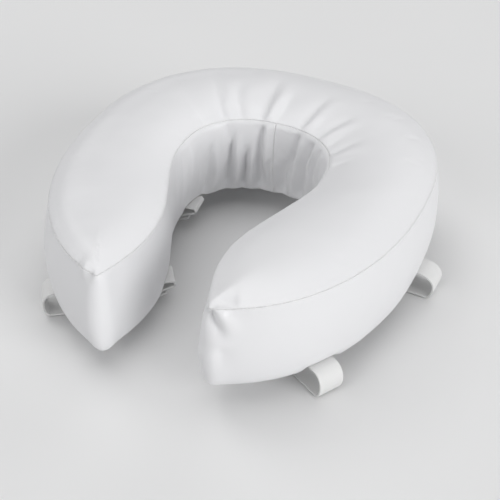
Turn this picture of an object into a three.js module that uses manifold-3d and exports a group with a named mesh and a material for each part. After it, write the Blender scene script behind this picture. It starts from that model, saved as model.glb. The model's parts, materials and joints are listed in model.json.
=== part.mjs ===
// A padded raised toilet seat: a horseshoe cushion of foam in a sewn vinyl cover, which hook-and-loop straps
// hold on to the ring of an ordinary toilet seat.
//
// Millimetres, +Z up. The cushion's flat underside is the plane z = 0, which rests on the seat ring. The origin
// is in that face, on the plane of symmetry, at the middle of the cushion's back. The opening faces -Y.
// Each strap is sewn into the lower seam at both sides of the cushion's arm. Its long end comes out of the outer
// seam, goes over the ring's rim and under the ring, and closes on a short tab from the inner seam.

import * as THREE from "three";
import { mergeVertices } from "three/addons/utils/BufferGeometryUtils.js";
import Module from "manifold-3d";

const wasm = await Module();
wasm.setup();

// ---- Driving dimensions: the cushion ----
const HALF_WIDTH = 172.5; // outer seam to the plane of symmetry
const BACK_BAND = 106; // front to back of the cushion behind the hole
const BACK_DEPTH = 172.5; // widest line of the outer seam to its back
const FRONT_DEPTH = 229; // widest line of the outer seam to where its front would close
const HOLE_HALF = 73; // half width of the hole
const HOLE_BACK_DEPTH = 71; // widest line of the hole to its back
const THROAT_LENGTH = 147; // widest line of the hole to the neck of the opening
const NECK_HALF = 35; // half width of the opening at its neck
const TIP_HALF = 50.5; // half distance between the two tips of the horseshoe
const BACK_SQUARENESS = 2.3; // superellipse exponents; 2 is an ellipse
const FRONT_SQUARENESS = 2.2;

const SEAM_HEIGHT = 85; // underside to the upper seam
const CROWN = 11; // how far the top rises above its seam
const SHOULDER = 40; // distance from the seam over which it rises
const VINYL = 1.2;
const GAP = 0.3; // between neighbouring pieces

const ARM_STEPS = 20; // cross-sections from a tip to the widest line
const BACK_STEPS = 14; // and from there to the middle of the back
const CROWN_STATIONS = [0, 0.06, 0.16, 0.32, 0.5, 0.68, 0.84, 0.94, 1]; // across the cushion, outer seam to inner

// ---- Driving dimensions: the straps ----
const STRAP_WIDTH = 25;
const STRAP_THICK = 1.8;
const STRAP_Z = VINYL + GAP + STRAP_THICK / 2; // middle of a sewn-in end, which lies on the bottom panel
const SEWN_LENGTH = 20; // of strap inside the cover
const HINGE_OUT = 4.5; // where a strap starts to bend, outwards from the cover
const RING_THICK = 20; // the toilet seat ring that the straps close around
const TAIL_Z = -RING_THICK - 2.5; // middle of the strap's run under the ring
const LOWER_BEND = 5; // radius of the strap's turn under the ring
const TAB_HINGE_OUT = 2.4; // the tab's fold, outwards from the nearest point of the cover's inner side
const TAB_HINGE_Z = -2.1;
const TAB_SLOPE = THREE.MathUtils.degToRad(20.8);
const TAB_LENGTH = 46;
const PAD_THICK = 1.2; // hook or loop tape
const PAD_WIDTH = 22;
const PAD_START = 12; // from the tab's fold to the near end of both tapes
const PAD_LENGTH = 31;
const CLOSURE = STRAP_THICK + 2 * PAD_THICK + GAP; // middle of the tab to middle of the strap under it
const THREAD = 0.5;
const STITCH_BAR = 0.9;

// Where each strap leaves the outer seam, the way it points there in degrees from +X, how far it goes out round
// the ring's rim, and the radius of its bend there.
const STRAPS = [
  { at: "front", y: -280.5, heading: -33, rim: 15, bend: 10 },
  { at: "rear", y: -115, heading: -5, rim: 20, bend: 12 },
];

const OUTER_Y = BACK_BAND / 2 - BACK_DEPTH; // widest line of the outer seam
const HOLE_Y = -BACK_BAND / 2 - HOLE_BACK_DEPTH; // widest line of the hole
const NECK_Y = HOLE_Y - THROAT_LENGTH;

// ---- Materials ----
const material = (color, roughness) => new THREE.MeshStandardMaterial({ color, roughness, metalness: 0 });
const vinyl = material(0xe2e2e4, 0.42);
const foam = material(0xe9dfb8, 0.95);
const webbing = material(0xdedfe0, 0.8);
const loopPile = material(0xe6e6e4, 0.95);
const hookTape = material(0xd8d9da, 0.6);
const thread = material(0xf0f0f0, 0.7);

// ---- The horseshoe's outline ----

// Half extent of a superellipse at a given share of its other axis.
const superellipse = (share, squareness) => (1 - Math.abs(share) ** squareness) ** (1 / squareness);

const TIP_Y = OUTER_Y - FRONT_DEPTH * superellipse(TIP_HALF / HALF_WIDTH, FRONT_SQUARENESS);

// Half width of the outer seam at a given y.
function outerHalfWidth(y) {
  const [depth, squareness] = y < OUTER_Y ? [FRONT_DEPTH, FRONT_SQUARENESS] : [BACK_DEPTH, BACK_SQUARENESS];
  return HALF_WIDTH * superellipse((y - OUTER_Y) / depth, squareness);
}

// A quarter of a superellipse, from its side (t = 0) to its end on the plane of symmetry (t = 1).
function quarter(t, halfWidth, depth, squareness, y) {
  const angle = (t * Math.PI) / 2;
  const x = halfWidth * Math.cos(angle) ** (2 / squareness);
  return new THREE.Vector2(x, y + depth * Math.sin(angle) ** (2 / squareness));
}

// Outer seam of the right arm, from its tip to the widest line.
function outerArm(t) {
  const start = Math.acos((TIP_HALF / HALF_WIDTH) ** (FRONT_SQUARENESS / 2));
  const share = 1 - (start / (Math.PI / 2)) * (1 - t);
  return quarter(1 - share, HALF_WIDTH, -FRONT_DEPTH, FRONT_SQUARENESS, OUTER_Y);
}

// Inner seam of the right arm, from its tip past the neck to the hole's widest line.
function innerArm(t) {
  const y = TIP_Y + (HOLE_Y - TIP_Y) * t;
  if (y < NECK_Y) {
    const flare = (NECK_Y - y) / (NECK_Y - TIP_Y);
    return new THREE.Vector2(NECK_HALF + (TIP_HALF - NECK_HALF) * flare ** 2, y);
  }
  const swing = (1 + Math.cos((Math.PI * (HOLE_Y - y)) / THROAT_LENGTH)) / 2;
  return new THREE.Vector2(NECK_HALF + (HOLE_HALF - NECK_HALF) * swing, y);
}

const outerBack = (t) => quarter(t, HALF_WIDTH, BACK_DEPTH, BACK_SQUARENESS, OUTER_Y);
const innerBack = (t) => quarter(t, HOLE_HALF, HOLE_BACK_DEPTH, BACK_SQUARENESS, HOLE_Y);

// A curve's points at even distances along it.
function spaced(pointAt, steps) {
  const curve = new THREE.Curve();
  curve.arcLengthDivisions = 400;
  curve.getPoint = (t) => pointAt(t);
  return curve.getSpacedPoints(steps);
}

// One seam all the way round from the right tip to the left tip.
function seam(arm, back) {
  const right = [...spaced(arm, ARM_STEPS), ...spaced(back, BACK_STEPS).slice(1)];
  const left = right.slice(0, -1).reverse();
  return [...right, ...left.map((p) => new THREE.Vector2(-p.x, p.y))];
}

const OUTER = seam(outerArm, outerBack);
const INNER = seam(innerArm, innerBack);

// The closed outline, anticlockwise: round the outside from the right tip, then back along the inside.
const OUTLINE = [...OUTER, ...INNER.slice(1, -1).reverse()];

// The outline moved inwards by a distance, point for point.
function inset(outline, distance) {
  return outline.map((point, i) => {
    const before = outline[(i + outline.length - 1) % outline.length];
    const after = outline[(i + 1) % outline.length];
    const a = point.clone().sub(before).normalize();
    const b = after.clone().sub(point).normalize();
    const normal = new THREE.Vector2(-a.y - b.y, a.x + b.x).normalize();
    const mitre = distance / Math.max(0.3, normal.dot(new THREE.Vector2(-a.y, a.x)));
    return point.clone().addScaledVector(normal, mitre);
  });
}

// The two ends of each cross-section of an outline: [outer, inner] from the right tip to the left tip.
function crossSections(outline) {
  const count = OUTER.length;
  return OUTER.map((_, i) => [outline[i], i === 0 || i === count - 1 ? outline[i] : outline[outline.length - i]]);
}

// ---- Solids ----

// A closed geometry from triangles given as points; those that collapse to a line are left out.
function fromTriangles(triangles) {
  const positions = [];
  for (const [a, b, c] of triangles) {
    const thin = a.distanceTo(b) < 1e-6 || b.distanceTo(c) < 1e-6 || c.distanceTo(a) < 1e-6;
    if (!thin) positions.push(...a.toArray(), ...b.toArray(), ...c.toArray());
  }
  const geometry = new THREE.BufferGeometry();
  return geometry.setAttribute("position", new THREE.Float32BufferAttribute(positions, 3));
}

// The solid between two surfaces over the same outline, each a height as a function of place.
function slab(outline, lower, upper) {
  const surface = (height) =>
    crossSections(outline).map(([outer, inner]) => {
      const width = outer.distanceTo(inner);
      return CROWN_STATIONS.map((share) => {
        const p = outer.clone().lerp(inner, share);
        return new THREE.Vector3(p.x, p.y, height(Math.min(share, 1 - share) * width));
      });
    });
  const [low, high] = [surface(lower), surface(upper)];
  const last = CROWN_STATIONS.length - 1;
  const triangles = [];
  for (let i = 0; i + 1 < low.length; i++) {
    for (let j = 0; j < last; j++) {
      const [a, b, c, d] = [high[i][j], high[i + 1][j], high[i + 1][j + 1], high[i][j + 1]];
      triangles.push([a, b, c], [a, c, d]);
      const [e, f, g, h] = [low[i][j], low[i + 1][j], low[i + 1][j + 1], low[i][j + 1]];
      triangles.push([e, g, f], [e, h, g]);
    }
    for (const [j, outward] of [[0, true], [last, false]]) {
      const [a, b, c, d] = [low[i][j], low[i + 1][j], high[i + 1][j], high[i][j]];
      triangles.push(...(outward ? [[a, b, c], [a, c, d]] : [[a, c, b], [a, d, c]]));
    }
  }
  return fromTriangles(triangles);
}

// Height of the crown at a distance from the nearest seam.
const crown = (distance) => CROWN * (1 - (1 - Math.min(distance / SHOULDER, 1)) ** 2);

// A flat outline, with or without a hole, pulled up from one height to another.
function prism(outline, hole, from, to) {
  const shape = new THREE.Shape(outline);
  if (hole) shape.holes.push(new THREE.Path(hole));
  const geometry = new THREE.ExtrudeGeometry(shape, { depth: to - from, bevelEnabled: false });
  return geometry.translate(0, 0, from);
}

function toManifold(geometry) {
  const bare = geometry.clone();
  bare.deleteAttribute("normal");
  bare.deleteAttribute("uv");
  const merged = mergeVertices(bare, 1e-4);
  const triVerts = new Uint32Array(merged.index.array);
  return new wasm.Manifold(new wasm.Mesh({ numProp: 3, vertProperties: merged.attributes.position.array, triVerts }));
}

function cut(geometry, tools) {
  let solid = toManifold(geometry);
  for (const tool of tools) solid = solid.subtract(toManifold(tool));
  const made = solid.getMesh();
  const result = new THREE.BufferGeometry();
  result.setAttribute("position", new THREE.BufferAttribute(made.vertProperties, 3));
  result.setIndex(new THREE.BufferAttribute(made.triVerts, 1));
  return result.toNonIndexed();
}

// ---- Straps: each profile is drawn in (out, z), outwards from the seam and up, and runs the strap's width ----

const bar = (profile, width) => {
  const geometry = new THREE.ExtrudeGeometry(new THREE.Shape(profile), { depth: width, bevelEnabled: false });
  return geometry.translate(0, 0, -width / 2).rotateX(Math.PI / 2);
};

// The profile of a ribbon along a centre line, with a round nose at its start if it turns on a fold there.
function ribbon(line, thickness, roundNose) {
  const sides = [[], []];
  line.forEach((point, i) => {
    const back = i > 0 ? point.clone().sub(line[i - 1]).normalize() : null;
    const on = i + 1 < line.length ? line[i + 1].clone().sub(point).normalize() : null;
    const normals = [back, on].filter(Boolean).map((d) => new THREE.Vector2(-d.y, d.x));
    const normal = normals.reduce((sum, n) => sum.add(n), new THREE.Vector2()).normalize();
    const reach = thickness / 2 / normal.dot(normals[0]);
    sides[0].push(point.clone().addScaledVector(normal, reach));
    sides[1].push(point.clone().addScaledVector(normal, -reach));
  });
  const nose = [];
  if (roundNose) {
    const start = sides[0][0].clone().sub(line[0]).angle();
    const steps = 6;
    for (let k = 1; k < steps; k++) {
      const angle = start + (Math.PI * k) / steps;
      nose.push(line[0].clone().add(new THREE.Vector2(Math.cos(angle), Math.sin(angle)).multiplyScalar(thickness / 2)));
    }
  }
  return [...nose, ...sides[1], ...sides[0].reverse()];
}

const at = (out, z) => new THREE.Vector2(out, z);

// A quarter turn clockwise, from the angle at which it starts.
function quarterTurn(centre, radius, start, steps) {
  return Array.from({ length: steps + 1 }, (_, k) => {
    const angle = start - (k / steps) * (Math.PI / 2);
    return at(centre.x + radius * Math.cos(angle), centre.y + radius * Math.sin(angle));
  });
}

// The centre line of the strap over the rim: out, down, and in again below the ring.
function dropLine({ rim, bend }) {
  const over = quarterTurn(at(rim - bend, STRAP_Z - bend), bend, Math.PI / 2, 6);
  const under = quarterTurn(at(rim - LOWER_BEND, TAIL_Z + LOWER_BEND), LOWER_BEND, 0, 4);
  return [at(HINGE_OUT, STRAP_Z), ...over, ...under];
}

// A point on the tab's centre line, and the same point moved down square to it.
function onTab(inner, along, below = 0) {
  const start = at(inner - TAB_HINGE_OUT, TAB_HINGE_Z);
  const down = at(-Math.sin(TAB_SLOPE), -Math.cos(TAB_SLOPE));
  return start.add(at(Math.cos(TAB_SLOPE), -Math.sin(TAB_SLOPE)).multiplyScalar(along)).addScaledVector(down, below);
}

// The centre line of the strap's run under the ring and up beneath the tab.
function tailLine({ rim, inner }) {
  const start = at(rim - LOWER_BEND - STRAP_THICK / 2 - GAP, TAIL_Z);
  const high = onTab(inner, 0, CLOSURE);
  const kink = (high.y - TAIL_Z) / Math.sin(TAB_SLOPE);
  return [start, onTab(inner, kink, CLOSURE), onTab(inner, PAD_START - 2, CLOSURE)];
}

const flatPiece = (inner, from, to, below, thickness, width) =>
  bar(ribbon([onTab(inner, from, below), onTab(inner, to, below)], thickness, false), width);

// A box of stitches with a cross in it, as one thin frame with four three-cornered holes.
function stitchBox(length, width) {
  const [x, y] = [length / 2, width / 2];
  const shape = new THREE.Shape([at(-x, -y), at(x, -y), at(x, y), at(-x, y)]);
  const [inX, inY] = [x - STITCH_BAR, y - STITCH_BAR];
  const half = (STITCH_BAR / 2) * Math.hypot(x, y);
  const [cornerX, cornerY] = [half / y, half / x]; // what half a diagonal bar takes off each side of a corner
  for (const sign of [-1, 1]) {
    const side = [at(sign * inX, -inY + cornerY), at(sign * inX, inY - cornerY), at(sign * cornerX, 0)];
    const end = [at(-inX + cornerX, sign * inY), at(inX - cornerX, sign * inY), at(0, sign * cornerY)];
    shape.holes.push(new THREE.Path(side), new THREE.Path(end));
  }
  return new THREE.ExtrudeGeometry(shape, { depth: THREAD, bevelEnabled: false }).translate(0, 0, -THREAD / 2);
}

// A box of stitches on a face that lies along the tab, at a distance below its centre line.
function stitchesAlongTab(inner, below) {
  const middle = onTab(inner, PAD_START + PAD_LENGTH / 2, below);
  return stitchBox(PAD_LENGTH - 6, PAD_WIDTH - 6).rotateY(TAB_SLOPE).translate(middle.x, 0, middle.y);
}

// How far the inner seam is from a point of a strap, along the strap's direction: a negative distance.
function innerSeamAlong(origin, direction) {
  for (let i = 0; i + 1 < INNER.length; i++) {
    const edge = INNER[i + 1].clone().sub(INNER[i]);
    const toEdge = INNER[i].clone().sub(origin);
    const along = toEdge.cross(edge) / direction.cross(edge);
    const share = toEdge.cross(direction) / direction.cross(edge);
    if (share >= 0 && share <= 1 && along < 0) return along;
  }
  throw new Error("a strap misses the inner seam");
}

// A strap's place: where it leaves the outer seam, the way it turns, and where it meets the inner seam.
function placeStrap(strap, side) {
  const seamPoint = at(outerHalfWidth(strap.y), strap.y);
  const heading = THREE.MathUtils.degToRad(strap.heading);
  const direction = at(Math.cos(heading), Math.sin(heading));
  const across = at(-direction.y, direction.x);
  const inner = [-0.5, 0, 0.5].map((share) =>
    innerSeamAlong(seamPoint.clone().addScaledVector(across, share * STRAP_WIDTH), direction),
  );
  const mirror = side === "right" ? 1 : -1;
  return {
    ...strap,
    name: `${strap.at}_${side}`,
    position: new THREE.Vector3(mirror * seamPoint.x, seamPoint.y, 0),
    turn: side === "right" ? heading : Math.PI - heading,
    inner: Math.min(...inner), // the corner of the tab that clears the cover first
    innerSeam: inner[1],
  };
}

const PLACES = STRAPS.flatMap((strap) => ["right", "left"].map((side) => placeStrap(strap, side)));

// The notches that a strap's two sewn-in ends need in the side band and the foam.
function notches(place) {
  const length = SEWN_LENGTH + HINGE_OUT;
  const top = STRAP_Z + STRAP_THICK / 2 + GAP;
  return [0, place.innerSeam].map((seamAt) => {
    const box = new THREE.BoxGeometry(2 * length, STRAP_WIDTH + 2 * GAP, 2 * top);
    box.translate(seamAt, 0, 0).rotateZ(place.turn);
    return box.translate(place.position.x, place.position.y, 0);
  });
}

// ---- The assembly ----
const seat = new THREE.Group();

function add(parent, name, geometry, finish) {
  const mesh = new THREE.Mesh(geometry, finish);
  mesh.name = name;
  parent.add(mesh);
}

function addCushion() {
  const spaces = PLACES.flatMap(notches);
  const within = inset(OUTLINE, VINYL + GAP);
  const core = slab(
    within,
    () => VINYL + GAP,
    (distance) => SEAM_HEIGHT - GAP + crown(distance),
  );
  add(seat, "foam_core", cut(core, spaces), foam);
  const cover = slab(
    OUTLINE,
    (distance) => SEAM_HEIGHT + GAP + crown(distance),
    (distance) => SEAM_HEIGHT + GAP + VINYL + crown(distance),
  );
  add(seat, "top_panel", cover, vinyl);
  const band = prism(OUTLINE, inset(OUTLINE, VINYL), 0, SEAM_HEIGHT);
  add(seat, "side_band", cut(band, spaces), vinyl);
  add(seat, "bottom_panel", prism(within, null, 0, VINYL), vinyl);
}

function addStrap(place) {
  const group = new THREE.Group();
  group.position.copy(place.position);
  group.rotation.z = place.turn;
  seat.add(group);
  const { name, inner } = place;
  const foldStart = HINGE_OUT - STRAP_THICK / 2 - GAP;
  const sewn = [at(-SEWN_LENGTH, STRAP_Z), at(foldStart, STRAP_Z)];
  add(group, `strap_${name}_sewn_end`, bar(ribbon(sewn, STRAP_THICK, false), STRAP_WIDTH), webbing);
  add(group, `strap_${name}_drop`, bar(ribbon(dropLine(place), STRAP_THICK, true), STRAP_WIDTH), webbing);
  add(group, `strap_${name}_tail`, bar(ribbon(tailLine(place), STRAP_THICK, true), STRAP_WIDTH), webbing);
  const loopBelow = CLOSURE - (STRAP_THICK + PAD_THICK) / 2;
  const padEnd = PAD_START + PAD_LENGTH;
  const clear = 0.05; // between a tape and the strap that it is sewn to
  const tape = PAD_THICK - 2 * clear;
  const loop = flatPiece(inner, PAD_START, padEnd - 6, loopBelow, tape, PAD_WIDTH);
  add(group, `strap_${name}_loop_tape`, loop, loopPile);
  const under = CLOSURE + STRAP_THICK / 2 + GAP + THREAD / 2;
  add(group, `strap_${name}_stitching`, stitchesAlongTab(inner, under), thread);

  const fold = at(inner - TAB_HINGE_OUT, TAB_HINGE_Z + STRAP_THICK / 2 + GAP);
  const tabSewn = [at(place.innerSeam + SEWN_LENGTH, STRAP_Z), at(fold.x, STRAP_Z), fold];
  add(group, `tab_${name}_sewn_end`, bar(ribbon(tabSewn, STRAP_THICK, false), STRAP_WIDTH), webbing);
  const flap = [onTab(inner, 0), onTab(inner, TAB_LENGTH)];
  add(group, `tab_${name}_flap`, bar(ribbon(flap, STRAP_THICK, true), STRAP_WIDTH), webbing);
  const hook = flatPiece(inner, PAD_START, padEnd, (STRAP_THICK + PAD_THICK) / 2, tape, PAD_WIDTH);
  add(group, `tab_${name}_hook_tape`, hook, hookTape);
  const over = -(STRAP_THICK / 2 + GAP + THREAD / 2);
  add(group, `tab_${name}_stitching`, stitchesAlongTab(inner, over), thread);
}

addCushion();
PLACES.forEach(addStrap);

export default seat;
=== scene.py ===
"""Looks for a padded raised toilet seat: a horseshoe cushion in a sewn vinyl cover, with four straps.

Metres, in the CAD model's frame. The cover is one closed shell while it is simulated and creased. It is then
cut along its seams into top, band and bottom panels, whose edges roll inwards as sewn edges do.
"""
import json
import math

import bmesh
import bpy
import numpy as np
from mathutils import Matrix, Vector, geometry, noise
from mathutils.kdtree import KDTree


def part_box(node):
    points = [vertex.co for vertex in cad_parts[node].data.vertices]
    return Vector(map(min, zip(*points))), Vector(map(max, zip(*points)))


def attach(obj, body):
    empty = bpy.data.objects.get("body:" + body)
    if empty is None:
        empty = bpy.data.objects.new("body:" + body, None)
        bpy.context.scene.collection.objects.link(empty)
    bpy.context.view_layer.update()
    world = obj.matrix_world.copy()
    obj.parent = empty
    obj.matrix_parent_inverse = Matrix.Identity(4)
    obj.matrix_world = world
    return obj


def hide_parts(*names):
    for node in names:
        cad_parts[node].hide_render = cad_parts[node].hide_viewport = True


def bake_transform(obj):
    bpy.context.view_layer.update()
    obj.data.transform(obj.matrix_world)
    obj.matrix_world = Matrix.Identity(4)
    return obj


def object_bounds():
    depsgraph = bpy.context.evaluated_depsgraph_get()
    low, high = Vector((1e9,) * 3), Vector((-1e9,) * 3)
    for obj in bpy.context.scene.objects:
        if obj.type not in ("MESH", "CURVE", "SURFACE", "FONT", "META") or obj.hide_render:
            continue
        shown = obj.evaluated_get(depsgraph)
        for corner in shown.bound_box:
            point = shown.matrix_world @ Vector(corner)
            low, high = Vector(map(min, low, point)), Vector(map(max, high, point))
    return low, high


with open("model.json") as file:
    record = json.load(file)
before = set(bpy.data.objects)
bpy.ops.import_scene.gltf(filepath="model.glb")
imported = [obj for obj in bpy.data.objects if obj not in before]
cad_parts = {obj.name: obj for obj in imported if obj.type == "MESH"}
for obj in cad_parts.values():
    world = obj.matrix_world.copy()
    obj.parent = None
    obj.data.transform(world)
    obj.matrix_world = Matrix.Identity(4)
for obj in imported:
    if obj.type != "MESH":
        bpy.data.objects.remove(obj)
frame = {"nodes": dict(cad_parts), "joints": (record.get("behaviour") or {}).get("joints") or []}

MM = 0.001
CAD_LOW, CAD_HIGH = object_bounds()
PLACES = ("front_right", "front_left", "rear_right", "rear_left")
BOTTOM, BAND, TOP, ON_SEAM = range(4)  # the cover's three panels, and the points between them

# ---- The cover ----
MESH_STEP = 4.4 * MM  # before subdivision
SEAM_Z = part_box("side_band")[1].z
CROWN = 0.85 * (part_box("top_panel")[1].z - SEAM_Z)  # the cloth's pressure adds the rest
SHOULDER = 34 * MM  # distance from the seam over which the top rises
HOLE_RADIUS = 71 * MM  # of the inner seam's round back
HOLE_SETBACK = 172.5 * MM  # from the object's rear to the middle of that round back
HOLE_CENTRE = Vector((0, CAD_HIGH.y - HOLE_SETBACK, 0))
BAND_BULGE = 6 * MM  # of the outer side at mid height
LEFT_FULLNESS = 2.2 * MM  # how much fuller the left arm is filled than the right one
LEFT_SPREAD = 80 * MM  # from the middle, over which that grows
INNER_BULGE = 1.2 * MM  # of the inner side behind and beside the hole
TIP_BULGE = 5.5 * MM  # of the inner side at the tips
TIP_REACH = 85 * MM  # how far from the tips that fades away
BOTTOM_ROUND = 7 * MM  # height over which the band turns in to the lower seam
BOTTOM_INSET = 1.4 * MM
TIP_ROUNDING = 6 * MM  # how far the band's upright edges at the two tips are rounded
TIP_ROUNDING_FADE = 10 * MM  # height below the upper seam over which that sets in
TIP_PUSH = 3.4 * MM  # how far the rounded tips stand out again
TIP_SPREAD = 9 * MM  # along the seam, of that push
PRESSURE = 11.0  # in the cloth simulation
SWELL_FRAMES = 20
SWELL_LIMIT = 6 * MM  # that no point swells beyond
VINYL_THICK = 0.9 * MM
SEAM_WIDTH = 0.5 * MM  # of the strip that turns into a seam
SEAM_BORDER = 0.5 * MM  # of the even strip beside it
SEAM_DEPTH = 0.55 * MM
SEAM_GAP = 0.05 * MM  # of each panel from the middle of the seam
SEAM_ALLOWANCE = 3 * MM  # of the panels' hidden edges inside the cover

# ---- Gathers in the cover ----
# On the top, from the inner seam outwards. Angles are in degrees from straight back, positive towards +X:
# where the gather starts, and which way it ends up heading. Then its length, depth and width in millimetres,
# and the side of its raised lip.
TOP_GATHERS = [
    (-14, 2, 76, 3.0, 5.6, -1),
    (-33, -14, 66, 2.4, 6.4, -1),
    (-45, -24, 82, 2.7, 6.6, -1),
    (-66, -28, 74, 1.2, 8.5, -1),
    (-1, 6, 52, 1.5, 6.0, 1),
    (20, 4, 64, 2.1, 5.0, -1),
    (31, 14, 30, 0.9, 4.0, 1),
    (39, 31, 56, 2.0, 5.0, -1),
    (53, 36, 34, 0.8, 5.0, 1),
    (65, 33, 46, 1.6, 5.0, -1),
    (82, 50, 30, 0.9, 6.0, 1),
]
# Down the inner band behind the hole: x at its upper end and at its lower end, heights of both ends, depth
# and width in millimetres, and the side of its raised lip.
BAND_GATHERS = [
    (-62, -65, 74, 2, 5.6, 4.4, 1),
    (-54, -50, 84, 60, 2.2, 3.4, -1),
    (-43, -49, 78, 2, 7.8, 4.0, 1),
    (-29, -34, 62, 2, 8.2, 3.7, 1),
    (-15, -17, 85, 2, 7.8, 4.0, 1),
    (-5, -8, 50, 2, 5.2, 3.2, 1),
    (27, 8, 85, 2, 7.2, 4.6, 1),
    (46, 30, 85, 2, 7.2, 4.4, 1),
    (58, 48, 85, 2, 5.4, 4.2, 1),
]
# Down the band from the right tip: the places (distance from the tip, height) that a fold passes, its depth
# and width in millimetres, the side of its raised lip, and the share of its length over which it sets in.
RIGHT_TIP_FOLDS = [
    ([(0, 84), (5, 74), (9, 65), (11, 52)], 7.4, 5.4, 1, 0.08),
    ([(8, 52), (11, 36), (9, 14)], 2.8, 7.5, -1, 0.3),
]
# In the outer seam beside the left tip, in millimetres: height, distance from the tip, width and reach.
LEFT_TIP_DENTS = [(-1.9, 6, 3.5, 6), (1.5, 14, 4.5, 7), (-1.0, 23, 4.0, 6)]
PUFF = 6.0  # millimetres that the inner band puffs out under the upper seam, behind the hole
BAND_JOIN_X = -0.4 * MM  # the upright seam that closes the band
DEEPEST = 9.5  # millimetres that no gather of the band goes beyond
FOAM_INSET = 12 * MM  # of the foam from the cover, so that it stays below the deepest gather
STITCH_PITCH = 3.2 * MM
STITCH_SINK = 2.1  # half thicknesses of the CAD stitching, from its middle down to where stitches start
STRAP_THREAD = 0.32 * MM  # radius
SEAM_THREAD = 0.22 * MM  # radius
THREAD_DEPTH = 0.4 * MM  # of the thread below the seam

# ---- The straps ----
STRAP_WIDTH = 25 * MM
STRAP_THICK = 1.8 * MM
HINGE_OUT = 4.5 * MM  # of the swing's hinge from the outer seam
TAB_SLOPE = math.radians(20.8)  # of the tabs, and of the straps' ends below them
END_REACH = 1.2 * MM  # within which a CAD strap's points belong to its free end
KINK_REACH = 5 * MM  # of the soft bend in the run under the ring
SPLIT_BEFORE = 3.5 * MM  # how far before the peeling fold the two pieces of a strap meet
EDGE_REACH = 8 * MM  # on both sides of the seam, where the band's edge lifts to let a strap out
EDGE_HEIGHT = 14 * MM  # up the band, of that lift
WEAVE_COLUMN = 0.8 * MM
WEAVE_FLOAT = 1.3 * MM

# ---- The studio ----
SKY_LIGHT = 0.18  # how strongly the surroundings light the object
BACKDROP = 0.72  # how pale they look beyond the floor
LIGHTS = {  # where each one is, the angle that it covers in degrees, and its strength
    "side": ((0.90, -0.29, 0.34), 36, 1.6),
    "overhead": ((0, 0, 1), 60, 0.95),
    "front": ((-0.35, -1.0, 0.6), 30, 0.56),
    "rear_left": ((-0.7, 0.3, 0.9), 30, 0.55),
    "rear": ((0.1, 0.9, 0.7), 30, 0.2),
}
CAMERA_PLACE = (0.3093, -0.9184, 0.6323)
CAMERA_TURN = (21.25, 37.66, 1.55)  # to the right, upwards and about its own axis, in degrees
CAMERA_LENS = 75.7  # millimetres


# ---------------------------------------------------------------- helpers
def smooth(x):
    """0 to 1 with flat ends."""
    x = np.clip(x, 0, 1)
    return x * x * (3 - 2 * x)


def hump(x, middle, width):
    """1 at the middle, falling away to 0 on both sides."""
    return np.exp(-(((x - middle) / width) ** 2))


def link(name, data):
    """A new object in the scene."""
    made = bpy.data.objects.new(name, data)
    bpy.context.scene.collection.objects.link(made)
    return made


def new_object(name, points, faces):
    """A mesh object from its points and faces."""
    mesh = bpy.data.meshes.new(name)
    mesh.from_pydata([tuple(p) for p in points], [], [tuple(f) for f in faces])
    mesh.validate()
    return link(name, mesh)


def object_from(bm, name):
    """A mesh object from a finished bmesh."""
    mesh = bpy.data.meshes.new(name)
    bm.to_mesh(mesh)
    bm.free()
    return link(name, mesh)


def coordinates(obj):
    """The points of a mesh object, one row each."""
    co = np.empty(len(obj.data.vertices) * 3, np.float32)
    obj.data.vertices.foreach_get("co", co)
    return co.reshape(-1, 3).astype(float)


def set_coordinates(obj, co):
    """Moves the points of a mesh object."""
    obj.data.vertices.foreach_set("co", np.asarray(co, np.float32).ravel())
    obj.data.update()


def vertex_normals(obj):
    """The direction that a mesh object's surface faces at each point."""
    obj.data.update()
    normals = np.empty(len(obj.data.vertices) * 3, np.float32)
    obj.data.vertex_normals.foreach_get("vector", normals)
    return normals.reshape(-1, 3).astype(float)


def store(obj, name, values):
    """Keeps one number for each point of a mesh object."""
    attribute = obj.data.attributes.new(name, "FLOAT", "POINT")
    attribute.data.foreach_set("value", np.asarray(values, np.float32))


def fix_normals(piece):
    """Turns a closed mesh's faces outwards."""
    bm = bmesh.new()
    bm.from_mesh(piece.data)
    bmesh.ops.recalc_face_normals(bm, faces=bm.faces[:])
    bm.to_mesh(piece.data)
    bm.free()


def shade_smooth(obj):
    """Shades a mesh object as one smooth surface."""
    obj.data.polygons.foreach_set("use_smooth", [True] * len(obj.data.polygons))


# ---------------------------------------------------------------- the outline
def top_loops(node):
    """The closed outlines of a CAD node's flat top, longest first."""
    mesh = frame["nodes"][node].data
    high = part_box(node)[1].z
    key = {v.index: (round(v.co.x, 6), round(v.co.y, 6)) for v in mesh.vertices}
    edges = set()
    for face in mesh.polygons:
        if face.normal.z > 0.99 and all(abs(mesh.vertices[i].co.z - high) < 1e-6 for i in face.vertices):
            corners = [key[i] for i in face.vertices]
            edges.update(zip(corners, corners[1:] + corners[:1]))
    follow = {a: b for a, b in edges if (b, a) not in edges}
    loops = []
    while follow:
        start, point = follow.popitem()
        loop = [start]
        while point != start:
            loop.append(point)
            point = follow.pop(point)
        loops.append(np.array(loop))
    return sorted(loops, key=lambda loop: -np.linalg.norm(loop - np.roll(loop, 1, 0), axis=1).sum())


def arc_along(run):
    """Distance along a curve at each of its points."""
    return np.concatenate([[0], np.cumsum(np.linalg.norm(np.diff(run, axis=0), axis=1))])


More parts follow.
